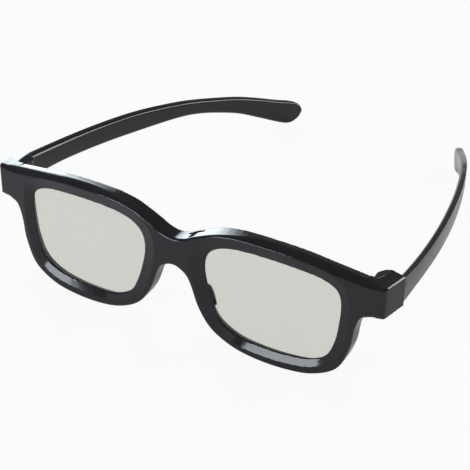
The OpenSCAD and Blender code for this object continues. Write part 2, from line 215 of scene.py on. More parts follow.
# %% [markdown]
# ## The front shell
# The shell is one glossy moulding. Subdivision modelling could give its soft forms, but the lenses,
# pockets and hinges need exact places, so it is built from a blank. A loft makes that blank: its
# front edges are rounded, and the brow is crowned, so the rounding grows where the outline faces
# up. Only the top of the bridge stays flat. The upper ends of the blank are trimmed, because the
# side arms with their hinge ears are joined on there. Cutters then open the lenses with their
# sloping bevels and the pockets behind them.

# %% Rounding along the outline
# Rounding of plain edges
EDGE = 0.9


def ramp(value, low, high):
    """Smooth rise from 0 to 1."""
    t = np.clip((np.asarray(value, float) - low) / (high - low), 0, 1)
    return t * t * (3 - 2 * t)


# The crown is 1 where the outline faces up, and the flat is 1 over the bridge
crown = ramp(outline_out[:, 1], 0.2, 0.85)
flat = 1 - ramp(np.abs(outline[:, 0]), 14, 34)
# Height of the rounding, and how far back its summit lies
drop = EDGE + 0.4 * crown * (1 - flat)
top_y = (1 - crown) * (EDGE - AHEAD) + crown * (1.5 - 2.5 * flat)
print("height of the rounding:", drop.min().round(2), "to", drop.max().round(2), "mm")


# %% Blank of the front shell
# A length that reaches past everything
FAR = 60
# Beyond this width and above this level the side arms take the blank's place
TRIM_X, TRIM_Z = 67, 12


def around(depth, inset):
    """Ring on the outline, moved in by an inset and laid at a depth on the curved front."""
    p = outline - np.asarray(inset)[..., None] * outline_out
    return np.stack([p[:, 0], depth + bend(p[:, 0], 0), p[:, 1]], 1)


def rounded(angle):
    """Ring of the rounding, from the front face (0 degrees) to the summit of the edge (90)."""
    turn = math.radians(angle)
    return around(top_y - (top_y + AHEAD) * math.cos(turn), drop * (1 - math.sin(turn)))


def at_depth(ring, depth):
    """The same ring, laid flat at one depth."""
    return np.stack([ring[:, 0], np.full(len(ring), float(depth)), ring[:, 2]], 1)


def behind(depth):
    """Everything behind the curved surface at a depth."""
    x = np.linspace(-HALF - BEHIND, HALF + BEHIND, 241)
    line = list(zip(x, bend(x, depth))) + [(x[-1], FAR), (x[0], FAR)]
    return prism("behind", line, -FAR, FAR, 2)


# The first and last rings lie past the front and the rear face, which are cut to the curve later
front_ring = 2 * rounded(0) - rounded(10)
rear_ring = 2 * around(BEHIND, (0.7 - 0.4 * flat) * crown) - rounded(90)
front = loft("front_shell", [
    at_depth(front_ring, -3 * AHEAD), front_ring, *map(rounded, range(10, 91, 10)),
    rear_ring, at_depth(rear_ring, 4 * BEHIND)])
carve(front, behind(BEHIND))
for inner, outer in ((TRIM_X, 90), (-90, -TRIM_X)):
    end_plan = [(inner, -FAR), (inner, FAR), (outer, FAR), (outer, -FAR)]
    carve(front, prism("trim", end_plan, TRIM_Z, FAR, 2))
print("blank of the front shell:", len(front.data.polygons), "faces")


# %% Side arms
# The hinge axis, the rear end of an arm, and the wall outside the channel of the hinge barrel
AXIS_X, AXIS_Y, ARM_LEN, OUTER_WALL = HINGE[0], HINGE[1], 15.8, 1.7
# Level and thickness of the lower ear, the gap between the ears and the radius of their round ends
EAR_LOW, EAR_T, EAR_GAP, EAR_R = 5.7, 2, 6.2, 3.7
# An arm's top: height of its front rounding, fall to its seam, slope of its roof and outer bevel
ARM_ROUND, SEAM_FALL, ROOF, ARM_BEVEL = 1.3, 1.45, 0.19, 0.55
# An arm starts inside the blank, and its splay starts behind the front face
ARM_START, SPLAY_START = 60, 4.6
channel_low, channel_high = EAR_LOW + EAR_T, EAR_LOW + EAR_T + EAR_GAP


def arc(centre, radius, start, end, count=12):
    """Points of an arc in degrees, round for one radius and elliptic for two."""
    a = np.radians(np.linspace(start, end, count))
    return np.asarray(centre) + np.stack([np.cos(a), np.sin(a)], 1) * radius


# The outline's top edge near the hinge, which the arms carry on
hinge_top = outline[(outline[:, 0] > 58) & (outline[:, 0] <= end_x) & (outline[:, 1] > ARM_LOW + 6)]
hinge_top = hinge_top[np.argsort(hinge_top[:, 0])]


def arm_ring(x):
    """Side view of an arm: its front edges continue the blank's, and its top falls to the seam."""
    # The front rounding is deep beside the brow and shallow at the corner
    face_y, deep = float(bend(x, -AHEAD)), 3.5 - 2 * float(ramp(x, 63, 71.5))
    bevel = max(x - (HALF - SPLAY - ARM_BEVEL), 0)
    top = np.interp(x, *hinge_top.T) + 0.03 - bevel
    seam = ARM_TOP - SEAM_FALL - ROOF * max(x - AXIS_X + 0.8, 0) - bevel
    y, z = np.vstack([arc((face_y + EDGE, ARM_LOW + EDGE), EDGE, 270, 180),
                      arc((face_y + deep, top - ARM_ROUND), (deep, ARM_ROUND), 180, 76),
                      [(ARM_LEN, seam), (ARM_LEN, ARM_LOW - 1.8)]]).T
    along = np.clip((y - SPLAY_START) / (ARM_LEN - SPLAY_START), 0, 1)
    return np.stack([x + SPLAY * along, y, z], 1)


def side_arm():
    """Side arm on the wearer's left with the channel of the hinge barrel."""
    inner_x, corner_x = fillet_x - 2, HALF - SPLAY - CORNER
    face_y = float(bend(corner_x, -AHEAD))
    turn = arc((corner_x, face_y - CORNER * math.sin(math.radians(-70))), CORNER, -70, -6)
    plan = np.vstack([
        [(inner_x, face_y - 3), (turn[0][0], face_y - 3)], turn,
        [(HALF, ARM_LEN), (AXIS_X + 0.3, ARM_LEN), (AXIS_X - 1.2, 8.2), (inner_x, 8.2)]])
    bevel_x = HALF - (SPLAY + ARM_BEVEL)
    stations = (*np.arange(ARM_START, HALF - 2, 0.4), bevel_x, HALF - SPLAY, HALF + 1)
    arm = loft("arm", [arm_ring(x) for x in stations])
    carve(arm, prism("arm_plan", plan, 0, FAR, 2), "INTERSECT")
    low_y, wall_x, open_x = AXIS_Y - 3.2, HALF - OUTER_WALL, AXIS_X - FAR
    channel = [(open_x, low_y), (wall_x, low_y), (wall_x, FAR), (open_x, FAR)]
    return carve(arm, prism("channel", channel, channel_low, channel_high, 2))


print("the arms carry on", len(hinge_top), "points of the outline")


# %% Hinge ears
# How deep an ear's root is sunk into the shell
EAR_ROOT = 3


def ear(low, high, fall, tilt):
    """Rounded hinge ear. Its top falls to both sides of the hinge axis and to the rear."""
    root_x, far_x = fillet_x - 1.5, HALF - SPLAY - 0.85
    root_y = float(bend(AXIS_X, BEHIND)) - EAR_ROOT
    edge_y = root_y + EAR_ROOT
    # The straight sides leave the round where a tangent from each root corner touches it
    touch = []
    for x, way in ((root_x, -1), (far_x, 1)):
        away = np.array((x - AXIS_X, edge_y - AXIS_Y))
        swing = math.acos(EAR_R / np.hypot(*away))
        touch.append(math.degrees(math.atan2(away[1], away[0]) + way * swing))
    plan = np.vstack([[(root_x, root_y), (far_x, root_y), (far_x, edge_y)],
                      arc((AXIS_X, AXIS_Y), EAR_R, touch[1], touch[0] + 360, 40),
                      [(root_x, edge_y)]])
    rings = [np.insert(plan, 2, low, axis=1)]
    for share in (0, 0.25, 0.5, 0.75, 0.97):
        p = plan + share * ((AXIS_X, AXIS_Y - 2) - plan)
        top = high + tilt * (ARM_LEN - p[:, 1]) - fall * np.abs(p[:, 0] - AXIS_X)
        rings.append(np.stack([p[:, 0], p[:, 1], top], 1))
    return loft("ear", rings)


# The wearer's left is on +X
HANDS = {1: "left", -1: "right"}


def mirrored(tool, side):
    """The tool itself for side 1, its mirror image for side -1."""
    if side < 0:
        tool.data.transform(Matrix.Scale(-1, 4, (1, 0, 0)))
        tool.data.flip_normals()
    return tool


# Of each ear: lower and upper level, fall to both sides and tilt to the rear
LOWER_EAR = (EAR_LOW, EAR_LOW + EAR_T, 0, 0)
UPPER_EAR = (channel_high, ARM_TOP - 1.48, 0.2, 0.13)
for side in HANDS:
    carve(front, mirrored(side_arm(), side), "UNION")
    for sizes in (LOWER_EAR, UPPER_EAR):
        carve(front, mirrored(ear(*sizes), side), "UNION")
carve(front, behind(-AHEAD), "INTERSECT")
print("front with arms and ears:", len(front.data.polygons), "faces")

# %% Lens openings and pockets
# Depth of the lip at a lens, and the film's margin under it and gap behind it
LIP, FILM_MARGIN, FILM_GAP = 0.7, 1.6, 0.03
# The retaining rings: where they start and end behind the lens plane, their margin and their gap
FILM_REAR, RING_REAR, RING_W, GAP = 0.89, 3.9, 3.3, 0.1
# The bar between them: its level and half its height; and a depth past the rear of both shells
BAR_Z, BAR_H, DEEP = 9.95, 1.9, 14
# The bevel is wider above a lens and on its nose side
bevel_width = 3.7 + 0.9 * window_out[:, 1] - 0.6 * window_out[:, 0]


def bevel_ring(share):
    """Ring on a lens bevel: 0 at the lens, 1 at the front face."""
    p = window + share * bevel_width[:, None] * window_out
    return np.stack([p[:, 0], bend(p[:, 0], 0) - LIP - share * (AHEAD - LIP), p[:, 1]], 1)


def tunnel(first, last):
    """Cutter through two rings that runs on straight past the front and the rear."""
    return loft("tunnel", [at_depth(first, -8), first, last, at_depth(last, 17)])


def ring_pair(extra):
    """Both retaining rings with the bar between them, as one long solid."""
    edge = grown(RING_W + extra)
    pair = [mirrored(prism("ring", edge, -AHEAD, DEEP, 1), side) for side in HANDS]
    x, low, high = nasal + 1, BAR_Z - BAR_H - extra, BAR_Z + BAR_H + extra
    bar = prism("bar", [(-x, low), (-x, high), (x, high), (x, low)], -AHEAD, DEEP, 1)
    return carve(carve(*pair, "UNION"), bar, "UNION")


wide, lip = bevel_ring(1.6), bevel_ring(0)
for side in HANDS:
    carve(front, mirrored(tunnel(wide, lip), side))
    pocket = prism("pocket", grown(FILM_MARGIN + GAP), -AHEAD, DEEP, 1)
    carve(front, mirrored(carve(pocket, behind(0), "INTERSECT"), side))
carve(front, carve(ring_pair(GAP), behind(FILM_REAR - FILM_GAP), "INTERSECT"))
print("front shell after the cuts:", len(front.data.polygons), "faces")


# %% [markdown]
# A mould has no sharp edges: every edge is eased by a few tenths of a millimetre, and on glossy
# plastic that easing is what catches the light. A Bevel modifier would have to find its way around
# all the cuts. A voxel remesh instead turns the carved solid into an even skin, and a short
# smoothing eases all of its edges alike. The small slot on the bridge is cut after that, so that
# its rim stays crisp.

# %% Soft edges of the front shell
# The slot: half the distance of its round ends, their radius and its depth
SLOT_HALF, SLOT_R, SLOT_DEPTH = 2.75, 0.7, 0.65


def eased(piece, voxel, passes, keep):
    """Even skin with eased edges, thinned to a share of its faces where it is flat."""
    skin = piece.modifiers.new("skin", "REMESH")
    skin.mode, skin.voxel_size = "VOXEL", voxel
    # A positive factor smooths and shrinks the skin, and the negative one brings its size back
    for factor in (0.5, -0.45) * passes:
        ease = piece.modifiers.new("ease", "SMOOTH")
        ease.factor, ease.iterations = factor, 1
    thin = piece.modifiers.new("thin", "DECIMATE")
    thin.ratio = keep
    settle(piece)
    piece.data.shade_smooth()
    return piece


def smooth_but_sharp(piece, degrees):
    """Smooth shading, apart from edges that turn by more than an angle."""
    piece.data.shade_smooth()
    piece.data.set_sharp_from_angle(angle=math.radians(degrees))


eased(front, voxel=0.26, passes=8, keep=0.5)
slope = bridge[2] - bridge[1]
spot = bridge[1] + 0.6 * slope
slot_ends = (arc((SLOT_HALF, 0), SLOT_R, -90, 90), arc((-SLOT_HALF, 0), SLOT_R, 90, 270))
slot = prism("slot", np.vstack(slot_ends), -SLOT_DEPTH, 3, 2)
slot.data.transform(Matrix.Translation((spot[0], 0.65 * BEHIND, spot[1]))
                    @ Matrix.Rotation(-math.atan2(slope[1], slope[0]), 4, "Y"))
smooth_but_sharp(carve(front, slot), 60)
print("eased front shell:", len(front.data.polygons), "faces")

# %% [markdown]
# ## The rear shell
# Behind the films sits a second moulding: two rings joined by a bar, which plugs into the front and
# holds the films. On the nose side of each ring a small rounded rest leans towards the nose. It
# could be drawn anew, but the same outlines, a little smaller, make sure that it fits the pocket.
# Its edges are eased in the same way.

# %% Rings and bar
def ring_wall(share):
    """Ring on the inner wall of a retaining ring: 0 at the film, 1 at the rear face."""
    p = grown(1.2 + 1.8 * share)
    depth = FILM_REAR + share * (RING_REAR - FILM_REAR)
    return np.stack([p[:, 0], bend(p[:, 0], depth), p[:, 1]], 1)


rear = ring_pair(0)
for side in HANDS:
    carve(rear, mirrored(tunnel(ring_wall(-0.3), ring_wall(1.2)), side))
carve(rear, behind(FILM_REAR), "INTERSECT")
carve(rear, behind(RING_REAR))
print("rings and bar:", len(rear.data.polygons), "faces")

# %% Nose rests
# Points of the lens opening that lie along the nose
NOSE_SIDE = slice(186, 205)
# A rest: distance from the ring's edge, thickness, how far back it reaches and lean in degrees
REST_INSET, REST_T, REST_REACH, REST_LEAN = 0.4, 1.3, 5.1, 17
# Its end before it is rounded
REST_END = 24


def circle(centre, radius, count):
    """Points of a full circle."""
    return arc(centre, radius, 0, 360 - 360 / count, count)


def nose_rest():
    """Rounded flange along the nose side of the left ring."""
    outer = grown(RING_W - REST_INSET)[NOSE_SIDE]
    inner = grown(RING_W - REST_INSET - REST_T)[NOSE_SIDE]
    foot, head = outer[0], outer[-1]
    pivot = Matrix.Translation((head[0], (FILM_REAR + RING_REAR) / 2, 0))
    rest = prism("rest", np.vstack([outer, inner[::-1]]), pivot.translation.y, REST_END, 1)
    tilt = Matrix.Rotation(math.radians(REST_LEAN), 4, "Z")
    rest.data.transform(pivot @ tilt @ pivot.inverted())
    radius, middle = (head[1] - foot[1]) / 2, (head[1] + foot[1]) / 2
    round_end = circle((REST_REACH - radius, middle), radius, 72)
    carve(rest, prism("round", round_end, 0, PITCH, 0), "INTERSECT")
    return carve(rest, behind(pivot.translation.y), "INTERSECT")


for side in HANDS:
    carve(rear, mirrored(nose_rest(), side), "UNION")
rear.name = "rear_shell"
eased(rear, voxel=0.26, passes=5, keep=0.5)
print("eased rear shell:", len(rear.data.polygons), "faces")

# %% [markdown]
# ## Node trees as sums
# Films, temples and finishes are all made of nodes. Trees could be drawn in the node editor, but
# written down they can be read from top to bottom. Two small classes keep that short: a `Wire`
# wraps a socket, so that sums of sockets are written as sums, and a `Tree` adds any other node with
# its settings and its inputs.

# %% Wires
class Wire:
    """A node's output that can be used in sums like a number."""

    def __init__(self, tree, socket):
        self.tree, self.socket = tree, socket

    def maths(self, operation, *values):
        return self.tree.add("ShaderNodeMath", {"operation": operation}, dict(enumerate(values)))

    def also(self, name):
        return Wire(self.tree, self.socket.node.outputs[name])

    def __add__(self, other):
        return self.maths("ADD", self, other)

    def __radd__(self, other):
        return self.maths("ADD", other, self)

    def __sub__(self, other):
        return self.maths("SUBTRACT", self, other)

    def __rsub__(self, other):
        return self.maths("SUBTRACT", other, self)

    def __mul__(self, other):
        return self.maths("MULTIPLY", self, other)

    def __rmul__(self, other):
        return self.maths("MULTIPLY", other, self)

    def __truediv__(self, other):
        return self.maths("DIVIDE", self, other)

    def __rtruediv__(self, other):
        return self.maths("DIVIDE", other, self)

    def below(self, other):
        return self.maths("MINIMUM", self, other)

    def above(self, other):
        return self.maths("MAXIMUM", self, other)

    def root(self):
        return self.maths("SQRT", self.above(0))


# %% Trees
class Tree:
    """A node tree that is written from left to right."""

    def __init__(self, group):
        self.group = group
        group.nodes.clear()

    def add(self, kind, settings=None, inputs=None, out=0):
        node = self.group.nodes.new(kind)
        for name, value in (settings or {}).items():
            setattr(node, name, value)
        for key, value in (inputs or {}).items():
            if isinstance(value, Wire):
                self.group.links.new(value.socket, node.inputs[key])
            else:
                node.inputs[key].default_value = value
        return Wire(self, node.outputs[out]) if node.outputs else node


# %% [markdown]
# ## Finishes
# The front and temples are black plastic from a polished mould: nearly black, with a clear gloss
# that is a little duller where hands have touched it, and with the faint waviness of moulded
# plastic. The outer sides of arms and temples are duller again. The rear shell comes from a blasted
# mould and is satin. Painted textures could show all that, but noise needs no picture and no
# unwrapping. Both plastics use the same recipe with other numbers, and both read object
# coordinates, so the finish stays on the piece when it moves.

# %% Black plastics
# Cells to the metre of the tone and of the smudges, and how much rougher a dull side is
TONE_CELLS, SMUDGE_CELLS, SIDE_ROUGH = 60, 110, 0.25


def finish(name):
    """New material with an empty tree."""
    made = bpy.data.materials.new(name)
    made.use_nodes = True
    return made, Tree(made.node_tree)


def noise(tree, place, scale, detail=3):
    """Soft random pattern around 0, with a given number of cells to the metre."""
    inputs = {"Vector": place, "Scale": scale, "Detail": detail}
    return tree.add("ShaderNodeTexNoise", None, inputs) - 0.5


def black_plastic(name, dark, light, gloss, smudge, peel, cells):
    """Moulded black plastic: tone, roughness with smudges and dull sides, and waviness."""
    made, tree = finish(name)
    place = tree.add("ShaderNodeTexCoord", out="Object")
    side = tree.add("ShaderNodeAttribute", {"attribute_name": "outer_side"}, out="Fac")
    cloud = noise(tree, place, TONE_CELLS)
    tone = tree.add("ShaderNodeMix", {"data_type": "RGBA"},
                    {0: cloud + 0.5, 6: dark, 7: light}, out=2)
    grain = noise(tree, place, cells, 2)
    smear = (noise(tree, place, SMUDGE_CELLS) * 2 + 0.1).above(0)
    rough = gloss + smudge * smear + 0.02 * grain + SIDE_ROUGH * side
    wave = tree.add("ShaderNodeBump", None,
                    {"Strength": peel, "Distance": 0.0001, "Height": grain})
    body = tree.add("ShaderNodeBsdfPrincipled", None, {
        "Base Color": tone, "Roughness": rough, "Normal": wave, "IOR": 1.46})
    tree.add("ShaderNodeOutputMaterial", None, {"Surface": body})
    return made


polished = black_plastic("polished black plastic", (0.008, 0.008, 0.009, 1),
                         (0.015, 0.015, 0.017, 1), gloss=0.07, smudge=0.08, peel=0.015, cells=700)
satin = black_plastic("satin black plastic", (0.010, 0.010, 0.011, 1),
                      (0.018, 0.018, 0.020, 1), gloss=0.34, smudge=0.06, peel=0.12, cells=2600)
print("plastics:", polished.name, "and", satin.name)

# %% [markdown]
# A lens is two sheets. The retarder in front is almost clear, and the polariser behind it takes
# about a third of the light, a little more in the blue. A sheet could be a volume that absorbs
# light, but it is simpler and quicker to let each of its two faces take a share: a face mixes a
# tinted clear shader with a little glossy haze, so the white floor and the dark nose rest show
# through in their own tones. A faint drift in the haze stands for the stretch of the film.

# %% Film finishes
def film(name, tint, haze, share, drift):
    """Thin clear sheet: tint of what shows through, and colour, share and drift of its haze."""
    made, tree = finish(name)
    place = tree.add("ShaderNodeTexCoord", out="Object")
    streak = tree.add("ShaderNodeVectorMath", {"operation": "MULTIPLY"},
                      {0: place, 1: (14, 14, 50)})
    cloud = noise(tree, streak, 1)
    clear = tree.add("ShaderNodeBsdfTransparent", None, {"Color": tint})
    body = tree.add("ShaderNodeBsdfPrincipled", None, {
        "Base Color": haze, "Roughness": 0.05 + 0.03 * cloud, "IOR": 1.45})
    sheet = tree.add("ShaderNodeMixShader", None, {0: share + drift * cloud, 1: clear, 2: body})
    tree.add("ShaderNodeOutputMaterial", None, {"Surface": sheet})
    return made


retarder = film("retarder film", (1, 1, 1, 1), (0.2, 0.2, 0.18, 1), share=0.04, drift=0.01)
polariser = film("polariser film", (0.932, 0.937, 0.905, 1), (0.05, 0.05, 0.05, 1),
                 share=0.12, drift=0.012)
print("films:", retarder.name, "and", polariser.name)

# %% [markdown]
# ## Shapes from guide lines
# Films and temples are thin pieces that follow a line. They could be lofted like the shells, but
# Geometry Nodes can say the rule once and grow the pieces from it. Both rules start from a flat
# grid and move its points, so that the columns of the grid go around the piece.

# %% Rules and guide lines
# Points of a grid that come closer than this are welded
WELD = 0.002


def rule(name, inputs, material):
    """Geometry tree with named inputs: returns the tree, its input wires and its ending."""
    group = bpy.data.node_groups.new(name, "GeometryNodeTree")
    for title, kind in {"Geometry": "Geometry", **inputs}.items():
        group.interface.new_socket(title, in_out="INPUT", socket_type="NodeSocket" + kind)
    group.interface.new_socket("Geometry", in_out="OUTPUT", socket_type="NodeSocketGeometry")
    tree = Tree(group)
    first = tree.add("NodeGroupInput")

    def end(grid, x, y, z):
        place = tree.add("ShaderNodeCombineXYZ", None, {0: x, 1: y, 2: z})
        moved = tree.add("GeometryNodeSetPosition", None, {"Geometry": grid, "Position": place})
        welded = tree.add("GeometryNodeMergeByDistance", None,
                          {"Geometry": moved, "Distance": WELD})
        whole = tree.add("GeometryNodeRealizeInstances", None, {0: welded})
        dressed = tree.add("GeometryNodeSetMaterial", None, {0: whole, "Material": material})
        tree.add("NodeGroupOutput", None, {0: dressed})

    return tree, {title: first.also(title) for title in ["Geometry", *inputs]}, end


def split(tree, vector):
    """The X, Y and Z of a vector: X itself, and the others by name."""
    return tree.add("ShaderNodeSeparateXYZ", None, {0: vector})


def grid_of(tree, columns, rows):
    """Grid with counts of points, and two wires that rise from 0 to 1 across it and up it."""
    grid = tree.add("GeometryNodeMeshGrid", None, {"Vertices X": columns, "Vertices Y": rows})
    cell = split(tree, tree.add("GeometryNodeInputPosition"))
    return grid, cell.also("X") + 0.5, cell.also("Y") + 0.5


# %% Growing a piece
def grow(name, lines, closed, group, values):
    """Runs a geometry tree on guide lines and keeps the result as a closed, plain mesh."""
    guide = bpy.data.curves.new(name + "_guide", "CURVE")
    guide.dimensions = "3D"
    for line in lines:
        run = guide.splines.new("POLY")
        run.points.add(len(line) - 1)
        run.points.foreach_set("co", np.insert(line, 3, 1, axis=1).ravel())
        run.use_cyclic_u = closed
    source = bpy.data.objects.new(name + "_guide", guide)
    bpy.context.scene.collection.objects.link(source)
    step = source.modifiers.new("rule", "NODES")
    step.node_group = group
    for item in group.interface.items_tree:
        if item.in_out == "INPUT" and item.name in values:
            step[item.identifier] = values[item.name]
    bpy.context.view_layer.update()
    shown = source.evaluated_get(bpy.context.evaluated_depsgraph_get())
    piece = bpy.data.objects.new(name, bpy.data.meshes.new_from_object(shown))
    bpy.context.scene.collection.objects.link(piece)
    bpy.data.objects.remove(source)
    bpy.data.curves.remove(guide)
    return closed_outward(piece)


def closed_outward(piece):
    """Closes open ends and turns every face outwards."""
    shape = bmesh.new()
    shape.from_mesh(piece.data)
    bmesh.ops.holes_fill(shape, edges=[e for e in shape.edges if e.is_boundary])
    bmesh.ops.recalc_face_normals(shape, faces=shape.faces)
    shape.to_mesh(piece.data)
    shape.free()
    return piece


# %% [markdown]
# ## The films
# A film is cut flat and bent onto the curve of the front when the shells close on it. Its rule is a
# closed guide line, filled from its middle outwards, bent and given a thickness. Going across the
# grid runs around the guide line; going up it runs from the middle of the front side to the edge
# and back to the middle of the rear side.

# %% Geometry tree of a film
tree, given, end = rule("film rule", {
    "Middle": "Vector", "Front": "Float", "Thickness": "Float", "Radius": "Float",
    "Columns": "Int", "Rows": "Int"}, polariser)
grid, across, up = grid_of(tree, given["Columns"] + 1, given["Rows"] * 2)
edge = tree.add("GeometryNodeSampleCurve", {"mode": "FACTOR", "use_all_curves": True},
                {"Curves": given["Geometry"], "Factor": across}, out="Position")
share = (up.below(1 - up) * (given["Rows"] * 2 - 1) / (given["Rows"] - 1)).below(1)
flat_spot = split(tree, tree.add("ShaderNodeMix", {"data_type": "VECTOR"},
                                 {0: share, 4: given["Middle"], 5: edge}, out=1))
depth = given["Front"] + given["Thickness"] * up.maths("GREATER_THAN", up, 0.5)
reach = given["Radius"] - depth
y = given["Radius"] - (reach * reach - flat_spot * flat_spot).root()
end(grid, flat_spot, y, flat_spot.also("Z"))
film_rule = tree.group
print("film rule:", len(film_rule.nodes), "nodes")


# %% Four sheets
# Thickness of a sheet, and where the front of each layer lies behind the lens plane
FILM_T = 0.4
LAYERS = (("retarder", FILM_GAP, retarder), ("polariser", 0.46, polariser))


def wear(piece, material):
    """Gives a piece one material only."""
    piece.data.materials.clear()
    piece.data.materials.append(material)


pieces = {}
for side, hand in HANDS.items():
    line = np.insert(grown(FILM_MARGIN), 1, 0, axis=1) * (side, 1, 1)
    for layer, layer_y, material in LAYERS:
        sheet = grow(f"{hand}_{layer}_sheet", [line], True, film_rule, {
            "Middle": (side * PITCH / 2, 0, 0), "Front": layer_y, "Thickness": FILM_T,
            "Radius": float(CURVE_R), "Columns": 180, "Rows": 12})
        smooth_but_sharp(sheet, 40)
        wear(sheet, material)
        pieces[f"{hand}_{layer}_film"] = (sheet, "frame", "lens_film")
print("sheets:", [p[0].name for p in pieces.values()])

# %% [markdown]
# ## The temples
# A temple is a bowed blade, moulded in one with its hinge barrel. Seen from the side it is a band
# between an upper and a lower line, with a waist in front of the ear bend and a flared tip. A curve
# with a bevel would have the same section everywhere. The rule instead walks along both guide lines
# at once, lays a rounded rectangle between them at every step, lets its top slope down to the
# inside, eases both ends and bends the whole blade inwards.

# %% Guide lines of a temple
# Where a blade starts and ends, the level of its top at the root and of its tip's underside
ROOT_Y, REACH, TOP, DROP = 16.05, 162, 14.3, 31.6
# Heights of the blade at its root, at its waist and at its tip
HEIGHT, WAIST, TIP = 9.6, 6.2, 10.4
# For each station: share of the length, share of the top's fall and height of the blade
STATIONS = [(0, 0, HEIGHT), (0.12, 0.082, HEIGHT - 1.3), (0.28, 0.185, HEIGHT - 1.4),
            (0.43, 0.29, HEIGHT - 1.5), (0.575, 0.425, WAIST + 0.4), (0.645, 0.504, WAIST),
            (0.715, 0.594, WAIST + 0.4), (0.79, 0.696, 0.67 * WAIST + 0.33 * TIP),
            (0.86, 0.814, 0.3 * WAIST + 0.7 * TIP), (0.93, 0.944, TIP)]
# Points around the end, in shares of the tip's height
TIP_ROUND = [(-0.44, 0.97), (-0.1, 0.77), (0, 0.45), (-0.14, 0.13), (-0.5, 0)]
GUIDE_STEPS = 16
tip = [(REACH + y * TIP, z * TIP - DROP) for y, z in TIP_ROUND]
upper = [(ROOT_Y + a * (REACH - ROOT_Y), TOP - b * (TOP + DROP - TIP)) for a, b, _ in STATIONS]
lower = [(y, z - tall) for (y, z), (_, _, tall) in zip(upper, STATIONS)]
whole = spline(upper + tip + lower[::-1], GUIDE_STEPS, closed=False)
turn = GUIDE_STEPS * (len(upper) + 2)
guides = [np.insert(line, 0, 0, axis=1) for line in (whole[:turn + 1], whole[turn:][::-1])]
print("temple guides:", [len(g) for g in guides], "points, tip at", whole[turn].round(1))

# %% Geometry tree of a temple: the section
SIZES = ("Thickness", "Inner easing", "Outer easing", "Top slope", "Face", "Bow", "Bow start",
         "Root", "Tip")
tree, given, end = rule("temple rule", {
    **dict.fromkeys(SIZES, "Float"), "Steps": "Int", "Corners": "Int"}, polished)
grid, across, up = grid_of(tree, given["Corners"] + 1, given["Steps"])
angle = (across + 0.5 / given["Corners"]) * math.tau
along = 0.5 - 0.5 * up.maths("COSINE", up * math.pi)
high, low = (split(tree, tree.add("GeometryNodeSampleCurve", {"mode": "FACTOR"}, {
    "Curves": given["Geometry"], "Factor": along, "Curve Index": index}, out="Position"))
    for index in (0, 1))
middle_y, middle_z = (0.5 * (high.also(axis) + low.also(axis)) for axis in "YZ")
half_y, half_z = (0.5 * (high.also(axis) - low.also(axis)) for axis in "YZ")
tall = (half_y * half_y + half_z * half_z).root()
ease = given["Outer easing"]


def shrink(distance):
    """How far an eased end is drawn in at a distance from that end."""
    rest = (ease - distance).above(0).below(ease)
    return ease - (ease * ease - rest * rest).root()


from_root, from_tip = middle_y - given["Root"], given["Tip"] - middle_y
thick = 0.5 * given["Thickness"] - shrink(from_root.below(from_tip))
rise = (tall - shrink(from_root)).above(0)
print("section of a temple:", len(tree.group.nodes), "nodes")

# %% Geometry tree of a temple: corners, slope and bow
cosine, sine = angle.maths("COSINE", angle), angle.maths("SINE", angle)
inner_half = cosine.maths("LESS_THAN", cosine, 0)
upper_half = sine.maths("GREATER_THAN", sine, 0)
radius = (ease + inner_half * (given["Inner easing"] - ease)).below(rise).below(thick)
out = cosine.maths("SIGN", cosine) * (thick - radius) + radius * cosine
lift = (sine.maths("SIGN", sine) * (rise - radius) + radius * sine) / tall.above(0.0001)
y = middle_y + lift * half_y
z = middle_z + lift * half_z - given["Top slope"] * (thick - out) * upper_half
bow = given["Bow"] - 0.5 * given["Thickness"] + out
back = y - given["Bow start"]
x = given["Face"] - given["Bow"] + (bow * bow - back * back).root()
end(grid, x, y, z)
temple_rule = tree.group
print("temple rule:", len(temple_rule.nodes), "nodes")

# %% Two temples with their hinge barrels
# The barrel's radius, lower end and height, and the radius and length of its trunnions
BARREL_R, BARREL_LOW, BARREL_H, PIN_R, PIN = 2.7, 7.95, 5.7, 1.2, 1.2
face_x = HALF - 0.7
BLADE = {"Thickness": 2.5, "Inner easing": 1.1, "Outer easing": 0.25, "Top slope": 0.2,
         "Face": face_x, "Bow": 356.0, "Bow start": ROOT_Y / 2, "Root": ROOT_Y,
         "Tip": float(REACH), "Steps": 220, "Corners": 48}
neck_x, neck_y = HALF - OUTER_WALL - 0.25, ROOT_Y + 2.5
neck = [(AXIS_X - BARREL_R / 2, AXIS_Y + BARREL_R / 2), (face_x - 2, neck_y), (neck_x, neck_y),
        (neck_x, ROOT_Y), (AXIS_X + 0.9 * BARREL_R, AXIS_Y)]
barrel_top = BARREL_LOW + BARREL_H
for side, hand in HANDS.items():
    temple = grow(f"{hand}_bowed_temple", guides, False, temple_rule, BLADE)
    carve(temple, prism("neck", neck, BARREL_LOW, barrel_top, 2), "UNION")
    for size, more in ((BARREL_R, 0), (PIN_R, PIN)):
        turned = circle((AXIS_X, AXIS_Y), size, 48)
        carve(temple, prism("barrel", turned, BARREL_LOW - more, barrel_top + more, 2), "UNION")
    smooth_but_sharp(mirrored(temple, side), 32)
    pieces[f"{hand}_temple"] = (temple, f"{hand}_arm", "black_plastic")
    print(temple.name, len(temple.data.polygons), "faces")

# %% [markdown]
# ## Into the CAD's frame
# Every piece now goes from the drawing into the CAD's frame, takes the place of its CAD node and
# rides on that node's body. The outer sides of arms and temples are marked first, while sizes are
# still the drawing's: a second material would end at a hard line, but a number at every point lets
# the finish change softly. Each piece also names the record's material slot.

# %% Pieces take the place of the CAD nodes
# How dull the outer sides are
DULL_SIDES = {"front_frame": 1.5, "left_temple": 0.4, "right_temple": 0.4}


def vectors(items, key):
    """One vector of every item, as rows of an array."""
    row = np.empty(3 * len(items), np.float32)
    items.foreach_get(key, row)
    return row.reshape(-1, 3)


